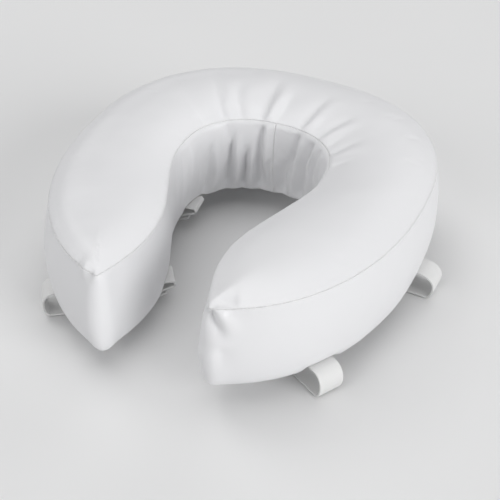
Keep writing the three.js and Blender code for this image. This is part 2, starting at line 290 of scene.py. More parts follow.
def resample(points, step):
    """Even points along a smooth curve through the given ones, both ends kept."""
    ends = [2 * points[0] - points[1], *points, 2 * points[-1] - points[-2]]
    fine = []
    for a, b, c, d in zip(ends, ends[1:], ends[2:], ends[3:]):
        for t in np.linspace(0, 1, 12, endpoint=False):
            fine.append(0.5 * (2 * b + (c - a) * t + (2 * a - 5 * b + 4 * c - d) * t**2
                               + (3 * b - a - 3 * c + d) * t**3))
    fine = np.array([*fine, points[-1]])
    along = arc_along(fine)
    even = np.linspace(0, along[-1], max(2, round(along[-1] / step)) + 1)
    return np.stack([np.interp(even, along, fine[:, i]) for i in (0, 1)], 1)


def seam_runs():
    """The seam as two curves from tip to tip: round the outside from +X to -X, and back along the inside."""
    loop = top_loops("side_band")[0]
    right = int(np.argmin(np.where(loop[:, 0] > 0, loop[:, 1], np.inf)))
    loop = np.roll(loop, -right, 0)
    left = int(np.argmin(np.where(loop[:, 0] < 0, loop[:, 1], np.inf)))
    outer, inner = loop[: left + 1], np.concatenate([loop[left:], loop[:1]])
    if outer[:, 0].max() < inner[:, 0].max():
        outer, inner = inner[::-1], outer[::-1]
    return resample(outer, MESH_STEP), resample(inner, MESH_STEP)


OUTER_RUN, INNER_RUN = seam_runs()
SEAM = np.concatenate([OUTER_RUN, INNER_RUN[1:-1]])  # closed and anticlockwise, from the right tip


def smoothed_loop(loop, reach):
    """The loop with its corners rounded over about that reach."""
    steps = int(4 * reach / MESH_STEP) + 1
    offsets = np.arange(-steps, steps + 1)
    weights = np.exp(-0.5 * (offsets * MESH_STEP / reach) ** 2)
    weights /= weights.sum()
    return sum(w * np.roll(loop, -o, 0) for w, o in zip(weights, offsets))


def outward(loop):
    """The unit normal at each point of an anticlockwise loop."""
    along = np.roll(loop, -1, 0) - np.roll(loop, 1, 0)
    normal = np.stack([along[:, 1], -along[:, 0]], 1)
    return normal / np.linalg.norm(normal, axis=1, keepdims=True)


def inside(points, loop):
    """Which points are inside the loop."""
    found = np.zeros(len(points), bool)
    for (x0, y0), (x1, y1) in zip(loop, np.roll(loop, -1, 0)):
        if y0 != y1:
            crosses = (y0 > points[:, 1]) != (y1 > points[:, 1])
            found ^= crosses & (points[:, 0] < (x1 - x0) * (points[:, 1] - y0) / (y1 - y0) + x0)
    return found


def nearest(points, loop):
    """Distance from each point to the loop's nearest point, and that point's index."""
    tree = KDTree(len(loop))
    for i, p in enumerate(loop):
        tree.insert((p[0], p[1], 0), i)
    tree.balance()
    found = [tree.find((p[0], p[1], 0)) for p in points]
    return np.array([f[2] for f in found]), np.array([f[1] for f in found])


# ---------------------------------------------------------------- the cover's shell
def band_bulge():
    """How far the band stands out at mid height, at each point of SEAM."""
    along = arc_along(INNER_RUN)
    from_tip = np.minimum(along, along[-1] - along)
    inner = INNER_BULGE + (TIP_BULGE - INNER_BULGE) * smooth(1 - from_tip / TIP_REACH)
    outer = BAND_BULGE + LEFT_FULLNESS * smooth(-OUTER_RUN[:, 0] / LEFT_SPREAD)
    return np.concatenate([outer, inner[1:-1]])


def tip_push():
    """How far the band stands out near the tips, under the rounding of its edge, at each point of SEAM."""
    push = []
    for run in (OUTER_RUN, INNER_RUN[1:-1]):
        along = arc_along(run)
        push.append(TIP_PUSH * hump(np.minimum(along, along[-1] - along), 0, TIP_SPREAD))
    return np.concatenate(push)


def band_rows():
    """The band's rings of points, from the lower seam to the upper one."""
    round_loop, normal = smoothed_loop(SEAM, TIP_ROUNDING), outward(smoothed_loop(SEAM, MESH_STEP))
    bulge, push = band_bulge(), tip_push()
    rows = []
    for z in np.linspace(0, SEAM_Z, round(SEAM_Z / MESH_STEP) + 1):
        share = z / SEAM_Z
        rounding = float(smooth((SEAM_Z - z) / TIP_ROUNDING_FADE))
        outwards = bulge * math.sin(math.pi * share**0.85) ** 0.8 if 0 < share < 1 else 0 * bulge
        outwards = outwards + push * rounding - BOTTOM_INSET * max(0, 1 - z / BOTTOM_ROUND) ** 2
        ring = SEAM + (round_loop - SEAM) * rounding + normal * outwards[:, None]
        rows.append(np.column_stack([ring, np.full(len(ring), z)]))
    return rows


def fill_points(loop):
    """A hexagonal grid of points inside a loop, clear of its edge."""
    low, high = loop.min(0), loop.max(0)
    pitch = MESH_STEP * math.sqrt(3) / 2
    grid = []
    for j, y in enumerate(np.arange(low[1], high[1], pitch)):
        grid += [(x, y) for x in np.arange(low[0] + (j % 2) * MESH_STEP / 2, high[0], MESH_STEP)]
    grid = np.array(grid)
    grid = grid[inside(grid, loop)]
    distance, _ = nearest(grid, loop)
    return grid[distance > 0.6 * MESH_STEP]


def panel_triangles(loop, points):
    """Triangles over a loop and the points in it, as indices into both, one after the other."""
    count = len(loop)
    flat = [Vector(p) for p in [*loop, *points]]
    found = geometry.delaunay_2d_cdt(flat, [], [list(range(count))], 1, 1e-7)
    source = [first[0] for first in found[3]]
    return [[source[i] for i in face] for face in found[2]]


def top_height(distance):
    """The height of the top panel at a distance from its seam."""
    return SEAM_Z + CROWN * (1 - (1 - np.clip(distance / SHOULDER, 0, 1)) ** 2)


def cover_shell():
    """The closed shell. Returns the object, each point's panel, and how many rows of points the band has."""
    rows = band_rows()
    count, levels = len(SEAM), len(rows)
    points = [p for row in rows for p in row]
    panel = [ON_SEAM] * count + [BAND] * count * (levels - 2) + [ON_SEAM] * count
    faces = []
    for j in range(levels - 1):
        for k in range(count):
            a, b = j * count + k, j * count + (k + 1) % count
            faces.append((a, b, b + count, a + count))
    for loop, start, top in ((rows[-1][:, :2], (levels - 1) * count, True), (rows[0][:, :2], 0, False)):
        grid = fill_points(loop)
        first_new = len(points)
        distance, _ = nearest(grid, loop)
        heights = top_height(distance) if top else np.zeros(len(grid))
        points += [(x, y, z) for (x, y), z in zip(grid, heights)]
        panel += [TOP if top else BOTTOM] * len(grid)
        for triangle in panel_triangles(loop, grid):
            corners = [start + i if i < count else first_new + i - count for i in triangle]
            faces.append(corners if top else corners[::-1])
    return new_object("cover_shell", points, faces), np.array(panel), levels


def inflate(shell, panel):
    """Swells the shell with cloth under pressure. The seams and the underside stay where they are."""
    start = coordinates(shell)
    pins = shell.vertex_groups.new(name="pins")
    pins.add([int(i) for i in np.flatnonzero((panel == ON_SEAM) | (panel == BOTTOM))], 1.0, "REPLACE")
    cloth = shell.modifiers.new("cloth", "CLOTH")
    settings = cloth.settings
    settings.vertex_group_mass = "pins"
    settings.quality = 5
    settings.mass = 0.3
    settings.tension_stiffness = settings.compression_stiffness = 15
    settings.shear_stiffness = 8
    settings.bending_stiffness = 1.5
    settings.use_pressure = True
    settings.uniform_pressure_force = PRESSURE
    settings.effector_weights.gravity = 0
    cloth.point_cache.frame_start, cloth.point_cache.frame_end = 1, SWELL_FRAMES
    scene = bpy.context.scene
    for number in range(1, SWELL_FRAMES + 1):
        scene.frame_set(number)
    swollen = shell.evaluated_get(bpy.context.evaluated_depsgraph_get())
    moved = coordinates(swollen) - start
    shell.modifiers.remove(cloth)
    scene.frame_set(1)
    distance = np.linalg.norm(moved, axis=1, keepdims=True)
    limited = SWELL_LIMIT * np.tanh(distance / SWELL_LIMIT) / np.maximum(distance, 1e-9)
    set_coordinates(shell, start + moved * limited)


# ---------------------------------------------------------------- creases, dents and seams
def seam_lines(levels):
    """The shell's points along the lower, the upper and the upright seam, in order."""
    count = len(SEAM)
    rings = [[level * count + k for k in range(count)] + [level * count] for level in (0, levels - 1)]
    behind_hole = (np.arange(count) >= len(OUTER_RUN)) & (SEAM[:, 1] > HOLE_CENTRE.y)
    column = int(np.argmin(np.where(behind_hole, np.abs(SEAM[:, 0] - BAND_JOIN_X), np.inf)))
    return [*rings, [level * count + column for level in range(levels)]]


def tag_panels(shell, levels):
    """Marks each face's panel, and the band's joining seam, before the shell is subdivided."""
    band_faces = len(SEAM) * (levels - 1)
    tags = np.full(len(shell.data.polygons), BOTTOM, np.int32)
    tags[:band_faces] = BAND
    for face in shell.data.polygons[band_faces:]:
        if face.center.z > SEAM_Z / 2:
            tags[face.index] = TOP
    shell.data.polygons.foreach_set("material_index", tags)
    join = np.zeros(len(shell.data.vertices))
    join[seam_lines(levels)[-1]] = 1
    store(shell, "join", join)


def panels_beside(mesh):
    """The panels of the faces beside each edge."""
    beside = {}
    for face in mesh.polygons:
        for key in face.edge_keys:
            beside.setdefault(key, set()).add(face.material_index)
    return beside


def subdivided(shell):
    """One Catmull-Clark step, with the seams kept as sharp edges."""
    mesh = shell.data
    beside = panels_beside(mesh)
    crease = mesh.attributes.new("crease_edge", "FLOAT", "EDGE")
    crease.data.foreach_set("value", [float(len(beside[edge.key]) > 1) for edge in mesh.edges])
    step = shell.modifiers.new("subdivide", "SUBSURF")
    step.levels = step.render_levels = 1
    evaluated = shell.evaluated_get(bpy.context.evaluated_depsgraph_get())
    finer = bpy.data.meshes.new_from_object(evaluated)
    shell.modifiers.remove(step)
    shell.data = finer


def line_distance(points, line):
    """Signed distance to a line of points (positive on its left), and how far along it, from 0 to 1."""
    line = np.asarray(line, float)
    starts = arc_along(line)
    best = np.full(len(points), np.inf)
    signed = np.zeros(len(points))
    along = np.zeros(len(points))
    for a, b, start in zip(line, line[1:], starts):
        length = np.linalg.norm(b - a)
        direction = (b - a) / length
        t = np.clip((points - a) @ direction, 0, length)
        offset = points - (a + t[:, None] * direction)
        distance = np.linalg.norm(offset, axis=1)
        side = np.sign(direction[0] * offset[:, 1] - direction[1] * offset[:, 0])
        closer = distance < best
        best = np.where(closer, distance, best)
        signed = np.where(closer, side * distance, signed)
        along = np.where(closer, (start + t) / starts[-1], along)
    return signed, along


def curved(line):
    """A line's points, joined by a smooth curve."""
    return resample(np.array(line, float) * MM, 3 * MM) / MM


def fold(points, line, depth, width, side, fade_in=0.0, fade_out=0.75):
    """Height of one fold at each point, in millimetres: a valley with a raised lip on one side of it.

    The fades are the shares of its length over which it sets in and runs out.
    """
    signed, along = line_distance(points, curved(line))
    width = width * (0.8 + 0.7 * along)
    across = signed * side / width
    valley = -np.exp(-np.abs(across / np.where(across > 0, 0.6, 1.15)) ** 1.5)
    lip = 0.5 * hump(across, 1.4, 1.0)
    strength = smooth((1 - along) / fade_out) if fade_out else 1
    strength = strength * smooth(along / fade_in) if fade_in else strength
    return depth * strength * (valley + lip)


def wandering(points, height, amount, scale, seed):
    """Flat points moved about by smooth noise, so that the folds drawn on them wander, in millimetres."""
    at = np.column_stack([points, np.full(len(points), height)])
    return points + amount * np.column_stack([noise_field(at, scale, seed), noise_field(at, scale, seed + 1)])


def seam_arc():
    """How far along its run each point of SEAM is: from the right tip outside, from straight back inside.

    Then that distance, and x, for the inner points behind the hole alone.
    """
    outer, inner = arc_along(OUTER_RUN), arc_along(INNER_RUN)
    behind = INNER_RUN[:, 1] > HOLE_CENTRE.y
    inner = inner - np.interp(0, INNER_RUN[behind, 0], inner[behind])
    return np.concatenate([outer, inner[1:-1]]), inner[behind], INNER_RUN[behind, 0]


def noise_field(co, scale, seed):
    """Smooth noise from -1 to 1 at each point, one period about 1/scale metres."""
    offset = Vector((seed * 7.1, seed * 3.7, seed * 5.3))
    return np.array([noise.noise(Vector(p) * scale + offset) for p in co])


class Surface:
    """The subdivided shell's points, which panels they are on, and where they lie from the seams."""

    def __init__(self, shell):
        self.co, self.normal = coordinates(shell), vertex_normals(shell)
        tags = np.empty(len(shell.data.polygons), np.int32)
        shell.data.polygons.foreach_get("material_index", tags)
        on = np.zeros((len(self.co), 3), bool)
        for face, tag in zip(shell.data.polygons, tags):
            on[list(face.vertices), tag] = True
        self.top, self.band, self.bottom = on[:, TOP], on[:, BAND], on[:, BOTTOM]
        self.inset, self.index = nearest(self.co[:, :2], SEAM)
        self.drop = SEAM_Z - self.co[:, 2]
        self.from_seam = np.hypot(self.inset, self.drop)
        tangent = np.roll(SEAM, -1, 0) - np.roll(SEAM, 1, 0)
        tangent /= np.linalg.norm(tangent, axis=1, keepdims=True)
        self.slide = np.einsum("ij,ij->i", self.co[:, :2] - SEAM[self.index], tangent[self.index])
        self.outer = self.index < len(OUTER_RUN)


def top_gathers(surface):
    """The gathers that run outwards over the top from the inner seam."""
    at = wandering(surface.co[surface.top][:, :2] / MM, 0, 3.0, 0.035, 11)
    made = np.zeros(len(surface.co))
    centre = np.array(HOLE_CENTRE[:2]) / MM
    for start, heading, length, depth, width, side in TOP_GATHERS:
        angles = np.radians(np.linspace(start, heading, 5))
        steps = np.column_stack([np.sin(angles), np.cos(angles)]) * length / 4
        steps[0] = np.array([math.sin(angles[0]), math.cos(angles[0])]) * HOLE_RADIUS / MM
        line = centre + np.cumsum(steps, axis=0)
        made[surface.top] += fold(at, line, depth, width, side)
    return made * (0.3 + 0.7 * smooth(surface.inset / (6 * MM)))


def band_gathers(surface):
    """The folds down the inner band behind the hole, and how it puffs out between them."""
    arc, behind, across = seam_arc()
    arc = arc[surface.index]
    edge = surface.bottom & (surface.inset < 12 * MM)  # which the folds press in as well
    back = (surface.band | edge) & ~surface.outer & (np.abs(arc) < 160 * MM)
    wall = np.column_stack([arc + surface.slide, surface.co[:, 2]])[back] / MM
    deeper = 0.45 + 0.55 * smooth(surface.drop[back] / (60 * MM))
    wall = wandering(wall, 5, 2.6, 0.04, 21)
    made = np.zeros(len(surface.co))
    for upper_x, lower_x, upper_z, lower_z, depth, width, side in BAND_GATHERS:
        xs = [upper_x, 0.75 * upper_x + 0.25 * lower_x - 1.5 * side, 0.2 * upper_x + 0.8 * lower_x, lower_x]
        places = np.interp(np.array(xs) * MM, across, behind) / MM
        line = np.column_stack([places, np.linspace(upper_z, lower_z, 4)])
        fade_in = 0.1 if upper_z > 80 else 0.35  # most of them start at the upper seam
        fade_out = 0 if lower_z < 5 else 0.4  # and most run down to the lower one
        made[back] += deeper * fold(wall, line, depth, width, side, fade_in, fade_out)
    made *= 0.45 + 0.55 * smooth(surface.drop / (9 * MM))
    around = smooth((150 * MM - np.abs(arc)) / (50 * MM)) * ~surface.outer
    uneven = 0.95 + 0.5 * noise_field(surface.co * [1, 1, 0.2], 45, 7)
    share = np.clip(surface.drop / SEAM_Z, 0, 1)
    profile = share**0.6 * (1 - share) ** 1.6 / 0.275  # 1 where it is highest
    made += PUFF * around * uneven * profile * surface.band
    made *= 0.3 + 0.7 * smooth(surface.co[:, 2] / (14 * MM))
    made /= (1 + (np.minimum(made, 0) / DEEPEST) ** 6) ** (1 / 6)
    return np.where(surface.bottom, made * hump(surface.inset, 0, 5 * MM), made)


def right_tip(surface):
    """A dent and a low lip in the top beside the corner, and the folds down the band from the corner."""
    outer_along = arc_along(OUTER_RUN)
    inner_back = arc_along(INNER_RUN)[-1] - arc_along(INNER_RUN)[1:-1]
    along = (np.concatenate([outer_along, -inner_back])[surface.index] + surface.slide) / MM
    near = np.abs(along) < 60
    made = np.zeros(len(along))
    top = surface.top & near
    at = np.column_stack([along, surface.inset / MM])[top]
    across, inset = at.T
    dent = hump(across, 13, 12) * smooth((27 - across) / 6)  # millimetres from the tip and from the seam
    made[top] -= 2.8 * dent * np.where(inset < 4, smooth(inset / 4), hump(inset, 4, 6.5))
    made[top] += 0.9 * hump(across, 27, 4) * hump(inset, 9, 8)
    band = surface.band & near
    at = np.column_stack([along, surface.co[:, 2] / MM])[band]
    for line, *shape in RIGHT_TIP_FOLDS:
        made[band] += fold(at, line, *shape)
    return made * (0.35 + 0.65 * smooth(surface.from_seam / (5 * MM)))


def left_tip(surface):
    """A pinch in the outer seam beside the corner, with a small bulge and a second pinch next to it."""
    outer_along = arc_along(OUTER_RUN)
    from_tip = outer_along[-1] - outer_along[np.minimum(surface.index, len(OUTER_RUN) - 1)] - surface.slide
    along = np.where(surface.outer, from_tip / MM, 999)
    depth = surface.from_seam / MM
    return sum(height * hump(along, place, width) * hump(depth, 0, reach)
               for height, place, width, reach in LEFT_TIP_DENTS)


def left_fullness(surface):
    """A low swelling along the outer side of the left arm's top."""
    side = smooth(-surface.co[:, 0] / LEFT_SPREAD) * surface.outer * surface.top
    return LEFT_FULLNESS / MM * side * hump(surface.inset, 14 * MM, 12 * MM)


def seam_ridges(surface):
    """Soft ridges on both sides of the upper seam, uneven along it as stitching leaves them."""
    uneven = 0.75 + 0.55 * noise_field(surface.co, 95, 3)
    distance = surface.from_seam / MM
    ridge = 0.6 * hump(distance, 3.4, 2.2) * uneven
    tuck = -0.2 * hump(distance, 0, 5) * smooth(0.5 + 1.2 * noise_field(surface.co, 130, 4))
    return ridge + tuck


def sculpt(shell):
    """Presses the gathers, folds, dents and seams into the subdivided shell."""
    surface = Surface(shell)
    gathers = band_gathers(surface)
    lift = sum(made(surface) for made in (top_gathers, right_tip, left_tip, seam_ridges, left_fullness))
    lift += 0.7 * noise_field(surface.co, 17, 1) + 0.26 * noise_field(surface.co, 44, 2)
    lift[surface.bottom] = 0
    sideways = np.column_stack([outward(SEAM)[surface.index], np.zeros(len(lift))])
    direction = np.where(surface.bottom[:, None], sideways, surface.normal)
    set_coordinates(shell, surface.co + (surface.normal * lift[:, None] + direction * gathers[:, None]) * MM)


def raise_over_straps(shell):
    """Lifts the band's lower edge where a strap or tab comes out from under it."""
    co = coordinates(shell)
    for strap in STRAPS:
        for seam_at in (0.0, strap["inner_seam"]):
            offset = co[:, :2] - (strap["origin"] + seam_at * strap["out"])[:2]
            u, v = offset @ strap["out"][:2], offset @ strap["across"][:2]
            beside = smooth((STRAP_WIDTH / 2 + 10 * MM - np.abs(v)) / (9 * MM)) * (np.abs(u) < EDGE_REACH)
            room = (strap["strap_top"] + 0.2 * MM) * beside
            co[:, 2] += room * np.clip(1 - co[:, 2] / EDGE_HEIGHT, 0, 1)
    set_coordinates(shell, co)


class Seams:
    """The points on the seams of the sculpted shell, with the shell's normals there."""

    def __init__(self, shell):
        join = np.empty(len(shell.data.vertices), np.float32)
        shell.data.attributes["join"].data.foreach_get("value", join)
        self.on_join = {i for i, value in enumerate(join) if value > 0.999}
        edges = [key for key, panels in panels_beside(shell.data).items() if len(panels) > 1]
        points = sorted({i for key in edges for i in key} | self.on_join)
        co, normals = coordinates(shell), vertex_normals(shell)
        self.normals = [Vector(normals[i]) for i in points]
        self.tree = KDTree(len(points))
        for n, i in enumerate(points):
            self.tree.insert(co[i], n)
        self.tree.balance()

    def distance(self, point):
        """How far a point is from the nearest seam."""
        return self.tree.find(point)[2]

    def inward(self, point):
        """The way into the cushion at the seam nearest to a point."""
        return -self.normals[self.tree.find(point)[1]]


def panel_piece(shell, tag, name, seams):
    """One panel of the cover as a piece of its own, with its edges rolled inwards."""
    bm = bmesh.new()
    bm.from_mesh(shell.data)
    bm.verts.ensure_lookup_table()
    if tag == BAND:
        edges = [e for e in bm.edges if all(v.index in seams.on_join for v in e.verts)]
        bmesh.ops.split_edges(bm, edges=edges)
    bmesh.ops.delete(bm, geom=[f for f in bm.faces if f.material_index != tag], context="FACES")
    for width in (SEAM_WIDTH + SEAM_BORDER, SEAM_WIDTH):
        bmesh.ops.inset_region(bm, faces=bm.faces[:], thickness=width, use_boundary=True,
                               use_even_offset=True)
    border = [e for e in bm.edges if e.is_boundary]
    for v in {v for e in border for v in e.verts}:
        inward = seams.inward(v.co)
        own_side = sum((f.calc_center_median() - v.co for f in v.link_faces), Vector())
        own_side -= own_side.project(inward)
        v.co += inward * SEAM_DEPTH + own_side.normalized() * SEAM_GAP
    grown = bmesh.ops.extrude_edge_only(bm, edges=border)["geom"]
    for v in [g for g in grown if isinstance(g, bmesh.types.BMVert)]:
        v.co += seams.inward(v.co) * SEAM_ALLOWANCE
    bmesh.ops.recalc_face_normals(bm, faces=bm.faces[:])
    for f in bm.faces:
        f.material_index = 0
        f.smooth = True
    piece = object_from(bm, name)
    for attribute in ("join", "crease_edge"):
        if attribute in piece.data.attributes:
            piece.data.attributes.remove(piece.data.attributes[attribute])
    return piece


def store_seam_distance(piece, seams):
    """Keeps each point's distance to the nearest seam, which the vinyl's puckers, polish and darker colour in
    the seams use.
    """
    store(piece, "seam_distance", [min(seams.distance(v.co), 50 * MM) for v in piece.data.vertices])


# ---------------------------------------------------------------- the straps
def strap_frame(name):
    """A strap's directions, hinges and ends, from the CAD model."""
    joints = {j["name"]: j for j in frame["joints"]}
    swing, peel, fall = (joints[f"{name}_{kind}"] for kind in ("swing", "peel", "tab_fall"))
    axis = Vector(swing["axis"])
    out = np.array([-axis.y, axis.x, 0.0])
    origin = np.array(swing["pos_m"]) - out * HINGE_OUT
    origin[2] = 0

    def seen(points):
        """Points as (distance out, height)."""
        points = np.array(points)
        return np.column_stack([(points - origin) @ out, points[:, 2]])

    hinges = seen([joint["pos_m"] for joint in (swing, peel, fall)])
    drop, tail = (seen(coordinates(frame["nodes"][f"strap_{name}_{part}"])) for part in ("drop", "tail"))
    flap = seen(coordinates(frame["nodes"][f"tab_{name}_flap"]))
    return {
        "name": name, "origin": origin, "out": out, "across": np.array([-out[1], out[0], 0.0]),
        "swing": hinges[0], "peel": hinges[1], "fall": hinges[2],
        "rim": drop[:, 0].max() - STRAP_THICK / 2,
        "tail_end": middle_of(tail[tail[:, 0] < tail[:, 0].min() + END_REACH]),
        "flap_end": middle_of(flap[flap[:, 0] > flap[:, 0].max() - END_REACH]),
        "inner_seam": inner_seam_along(origin, out),
        "strap_top": hinges[0][1] + STRAP_THICK / 2,
    }


def middle_of(points):
    """The middle of a strap's free end, from the points on it."""
    return np.unique(np.round(points, 6), axis=0).mean(0)


def inner_seam_along(origin, out):
    """Where a line inwards from the outer seam meets the inner seam, as a negative distance."""
    for distance in np.arange(40 * MM, 160 * MM, 0.5 * MM):
        point = origin[:2] - out[:2] * distance
        if not inside(np.array([point]), SEAM)[0]:
            return -distance
    raise ValueError("no inner seam behind the strap")


STRAPS = [strap_frame(name) for name in PLACES]


def ellipse_quarter(centre, across, up, start, steps):
    """A clockwise quarter of an ellipse from the angle at which it starts."""
    angles = np.linspace(start, start - math.pi / 2, steps)
    return [(centre[0] + across * math.cos(a), centre[1] + up * math.sin(a)) for a in angles]


def strap_section():
    """A strap's cross-section, (across, thick): two layers with a fine groove between them at each edge."""
    half, thick, corner, groove = STRAP_WIDTH / 2, STRAP_THICK / 2, 0.42 * MM, 0.35 * MM
    edge = [(half - corner, thick), (half - 0.3 * corner, thick * 0.92), (half, thick * 0.6),
            (half, thick * 0.22), (half - groove, 0.04 * MM), (half - groove, -0.04 * MM)]
    edge += [(x, -z) for x, z in edge[3::-1]]
    flat = np.linspace(half - 1.6 * MM, -(half - 1.6 * MM), 9)
    stripe = [thick * (1 - 0.05 * math.cos(math.pi * k)) for k in range(9)]
    lower = [(x, -t) for x, t in zip(flat, stripe)]
    left = [(-x, z) for x, z in edge[::-1]]
    upper = [(-x, t) for x, t in zip(flat, stripe)]
    return edge + lower + left + upper


class Path:
    """Even points along a strap's middle, as (out, z), with the direction and the distance at each."""

    def __init__(self, points):
        self.points = resample(np.array(points), 1.1 * MM)
        tangent = np.gradient(self.points, axis=0)
        self.tangent = tangent / np.linalg.norm(tangent, axis=1, keepdims=True)
        self.along = arc_along(self.points)

    def part(self, first, last):
        """The rows from first to last, which join the rest of the path exactly."""
        piece = Path.__new__(Path)
        piece.points, piece.tangent, piece.along = (
            rows[first:last] for rows in (self.points, self.tangent, self.along))
        return piece


def section_normals(section):
    """The outward direction at each point of a closed clockwise section."""
    points = np.array(section)
    along = np.roll(points, -1, 0) - np.roll(points, 1, 0)
    normal = np.column_stack([-along[:, 1], along[:, 0]])
    return normal / np.linalg.norm(normal, axis=1, keepdims=True)


def ribbon(name, path, strap, closed_ends=(True, True)):
    """A strap along a path. The path sets its normals, so that two open parts meet without a step."""
    section = strap_section()
    flat_normals = section_normals(section)
    size, count = len(section), len(path.points)
    points, normals = [], []
    for i, ((u, z), (du, dz)) in enumerate(zip(path.points, path.tangent)):
        from_end = min(i if closed_ends[0] else count, count - 1 - i if closed_ends[1] else count)
        shrink = (0.55, 0.9, 1.0)[min(from_end, 2)]  # of its closed ends
        width = 0.97 + 0.03 * shrink
        upwards = strap["out"] * -dz + np.array([0, 0, du])
        middle = strap["origin"] + strap["out"] * u + np.array([0, 0, z])
        for (across, thick), (side, rise) in zip(section, flat_normals):
            points.append(middle + upwards * thick * shrink + strap["across"] * across * width)
            normals.append(upwards * rise + strap["across"] * side)
    faces = []
    for i in range(count - 1):
        for k in range(size):
            a, b = i * size + k, i * size + (k + 1) % size
            faces.append((a, b, b + size, a + size))
    faces += [tuple(range(size))[::-1], tuple(range((count - 1) * size, count * size))]
    piece = new_object(name, points, faces)
    fix_normals(piece)
    store(piece, "strap_along", np.repeat(path.along, size))
    store(piece, "strap_across", np.tile([across for across, _ in section], count))
    shade_smooth(piece)
    corners = []
    for face in piece.data.polygons:
        cap = len(face.vertices) > 4
        corners += [tuple(face.normal if cap else normals[i]) for i in face.vertices]
    piece.data.normals_split_custom_set(corners)
    return piece


def add_strap(strap):
    """The strap over the rim and under the ring. Two pieces, one for each fold, which meet under the rim."""
    name, rim, end = strap["name"], strap["rim"], strap["tail_end"]
    (swing_u, swing_z), (peel_u, peel_z) = strap["swing"], strap["peel"]
    middle = 0.5 * (swing_z + peel_z)
    over = ellipse_quarter((swing_u, middle), rim - swing_u, swing_z - middle, math.pi / 2, 12)
    under = ellipse_quarter((peel_u, middle), rim - peel_u, middle - peel_z, 0, 10)
    downhill = np.array([math.cos(TAB_SLOPE), -math.sin(TAB_SLOPE)])
    kink = end + (end[1] - peel_z) / math.sin(TAB_SLOPE) * downhill
    before, after = kink + np.array([KINK_REACH, 0]), kink - KINK_REACH * downhill
    run = [np.array((peel_u, peel_z)) * (1 - t) + before * t for t in (0.33, 0.66, 1)]
    tail = [*run, (before + after) / 4 + kink / 2, after, (after + end) / 2, end]
    path = Path([(-18 * MM, swing_z), (-6 * MM, swing_z), *over, *under[1:], *tail])
    behind_rim = (path.points[:, 0] < peel_u + SPLIT_BEFORE) & (path.points[:, 1] < middle)
    split = int(np.argmax(behind_rim))
    upper = ribbon(f"strap_{name}_upper", path.part(0, split + 1), strap, (True, False))
    lower = ribbon(f"strap_{name}_lower", path.part(split, None), strap, (False, True))
    for piece, bodies, start, finish, nodes in (
        (upper, ("cushion", f"{name}_drop"), (1.5 * MM, swing_z), (8 * MM, swing_z), ("sewn_end", "drop")),
        (lower, (f"{name}_drop", f"{name}_tail"), (peel_u + 3 * MM, peel_z), (peel_u - 4 * MM, peel_z),
         ("tail",)),
    ):
        piece.data.materials.append(MATERIALS["webbing"])
        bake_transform(piece)
        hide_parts(*[f"strap_{name}_{node}" for node in nodes])


def add_tab(strap):
    """The short tab: out of the inner seam, folded back under it, and down to its free end."""
    name, inner, end = strap["name"], strap["inner_seam"], strap["flap_end"]
    fall_u, fall_z = strap["fall"]
    sewn_z = strap["swing"][1]
    start = np.array([fall_u, fall_z])
    length = np.linalg.norm(end - start)
    direction = (end - start) / length
    hem = [(inner + 18 * MM, sewn_z), (inner + 8 * MM, sewn_z), (fall_u + 3.4 * MM, sewn_z),
           (fall_u + 1.1 * MM, sewn_z - 0.5 * MM), (fall_u + 0.1 * MM, sewn_z - 2 * MM),
           (fall_u + 0.5 * MM, fall_z - 0.4 * MM)]
    flap = [tuple(start + direction * t) for t in np.linspace(3.4 * MM, length, 6)]
    piece = ribbon(f"tab_{name}_webbing", Path(hem + flap), strap)
    piece.data.materials.append(MATERIALS["webbing"])
    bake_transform(piece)
    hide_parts(f"tab_{name}_sewn_end", f"tab_{name}_flap")


# ---------------------------------------------------------------- tapes and stitches
def oriented_box(node, strap):
    """A flat CAD piece's middle, its three directions and its three half sizes."""
    out, across = strap["out"], strap["across"]
    along = out * math.cos(TAB_SLOPE) + np.array([0, 0, -math.sin(TAB_SLOPE)])
    up = np.cross(along, across)
    axes = np.array([along, across, up])
    reach = coordinates(frame["nodes"][node]) @ axes.T
    low, high = reach.min(0), reach.max(0)
    return ((low + high) / 2) @ axes, axes, (high - low) / 2


def pile_height(x, y):
    """How uneven the loop pile is at a place on its tape."""
    return 0.16 * MM * noise.noise(Vector((x * 1700, y * 1700, 3))) - 0.1 * MM


def soft_block(name, box, lift=None):
    """A tape's backing: a grid with rounded sides, and with a face that a function of place may raise."""
    middle, axes, half = box
    counts = [max(4, round(2 * h / (0.8 * MM))) for h in half[:2]]
    xs, ys = (np.linspace(-h, h, n) for h, n in zip(half[:2], counts))
    points, faces = [], []
    for face_up in (False, True):
        for x in xs:
            for y in ys:
                edge = min(half[0] - abs(x), half[1] - abs(y))
                rounding = half[2] * (1 - smooth(edge / (1.1 * MM))) * 0.75
                height = half[2] - rounding + (lift(x, y) if lift and face_up else 0)
                points.append(middle + x * axes[0] + y * axes[1] + (height if face_up else -height) * axes[2])
    nx, ny = counts
    sheet = nx * ny
    for i in range(nx - 1):
        for j in range(ny - 1):
            a = i * ny + j
            b = sheet + a
            faces += [(a, a + 1, a + ny + 1, a + ny), (b, b + ny, b + ny + 1, b + 1)]
    border = [i * ny for i in range(nx)] + [(nx - 1) * ny + j for j in range(1, ny)]
    border += [i * ny + ny - 1 for i in range(nx - 2, -1, -1)] + [j for j in range(ny - 2, 0, -1)]
    for a, b in zip(border, border[1:] + border[:1]):
        faces.append((a, b, b + sheet, a + sheet))
    piece = new_object(name, points, faces)
    fix_normals(piece)
    shade_smooth(piece)
    return piece


def trim_block(piece, box):
    """Thins a tape's backing from below, to leave the rest of its thickness to the hooks."""
    middle, axes, half = box
    co = coordinates(piece)
    height = (co - middle) @ axes[2]
    floor = -0.1 * half[2]
    target = np.where(height < 0, floor + 0.15 * (height - floor), height)
    set_coordinates(piece, co + (target - height)[:, None] * axes[2])


